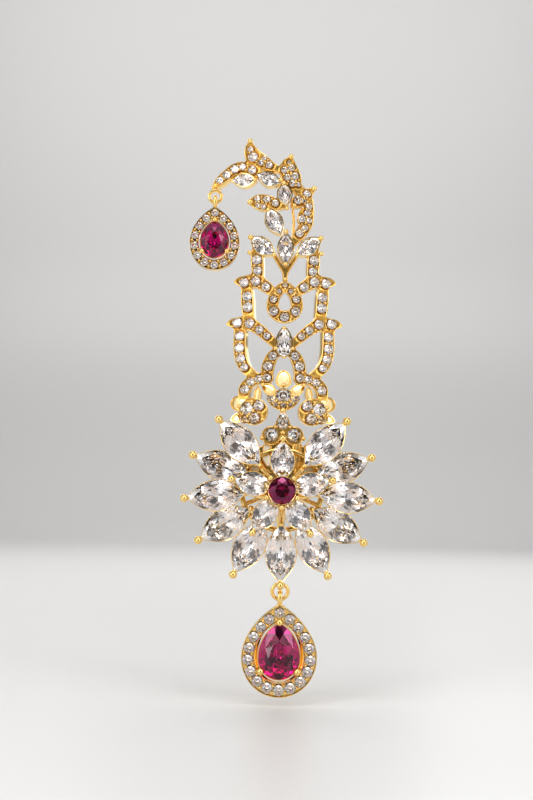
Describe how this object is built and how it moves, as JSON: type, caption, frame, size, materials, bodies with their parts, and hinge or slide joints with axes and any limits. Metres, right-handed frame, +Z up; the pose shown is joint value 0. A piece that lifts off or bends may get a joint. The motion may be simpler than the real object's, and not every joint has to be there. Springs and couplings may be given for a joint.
{
  "type": "sarpech turban ornament",
  "caption": "Gold-coloured openwork turban ornament with a curling crest, a marquise-stone flower, and a large and a small pear drop that swing on rings.",
  "frame": {"origin": "on the back pin's axis, level with the middle of the flower's round stone", "axes": "+Z up towards the crest, -Y to the front, X = 0 through the flower, the lattice and the main drop"},
  "size_m": [0.0432, 0.0183, 0.1201],
  "materials": {
    "gold_metal": "polished gold plating with fused colourless pavé stones",
    "clear_stone": "faceted colourless stone",
    "red_stone": "faceted magenta-red stone"
  },
  "bodies": {
    "root": {"back_pin": "gold_metal", "cluster_round_left": "clear_stone", "cluster_round_right": "clear_stone", "crest_stone_left": "clear_stone", "crest_stone_low": "clear_stone", "crest_stone_middle": "clear_stone", "crest_stone_upper": "clear_stone", "crown_round": "clear_stone", "flower_setting": "gold_metal", "inner_petal_left": "clear_stone", "inner_petal_lower_left": "clear_stone", "inner_petal_lower_right": "clear_stone", "inner_petal_right": "clear_stone", "inner_petal_top": "clear_stone", "lattice_pear": "clear_stone", "openwork_frame": "gold_metal", "petal_bottom": "clear_stone", "petal_low_left": "clear_stone", "petal_low_right": "clear_stone", "petal_lower_left": "clear_stone", "petal_lower_right": "clear_stone", "petal_shoulder_left": "clear_stone", "petal_shoulder_right": "clear_stone", "petal_side_left": "clear_stone", "petal_side_right": "clear_stone", "petal_upper_left": "clear_stone", "petal_upper_right": "clear_stone", "ruby_round": "red_stone", "trefoil_pear": "clear_stone", "trefoil_round_left": "clear_stone", "trefoil_round_right": "clear_stone", "trio_centre_stone": "clear_stone", "trio_stone_left": "clear_stone", "trio_stone_right": "clear_stone"},
    "main_drop": {"main_drop_setting": "gold_metal", "main_drop_ruby": "red_stone"},
    "crest_drop": {"crest_drop_setting": "gold_metal", "crest_drop_ruby": "red_stone"}
  },
  "joints": [
    {"name": "main_drop_swing", "type": "hinge", "parent": "root", "child": "main_drop", "pos_m": [0, -0.008, -0.0218], "axis": [0, 1, 0], "range_deg": [-40, 40]},
    {"name": "crest_drop_swing", "type": "hinge", "parent": "root", "child": "crest_drop", "pos_m": [-0.01544, -0.0042, 0.0635], "axis": [0, 1, 0], "range_deg": [-8, 45]}
  ]
}
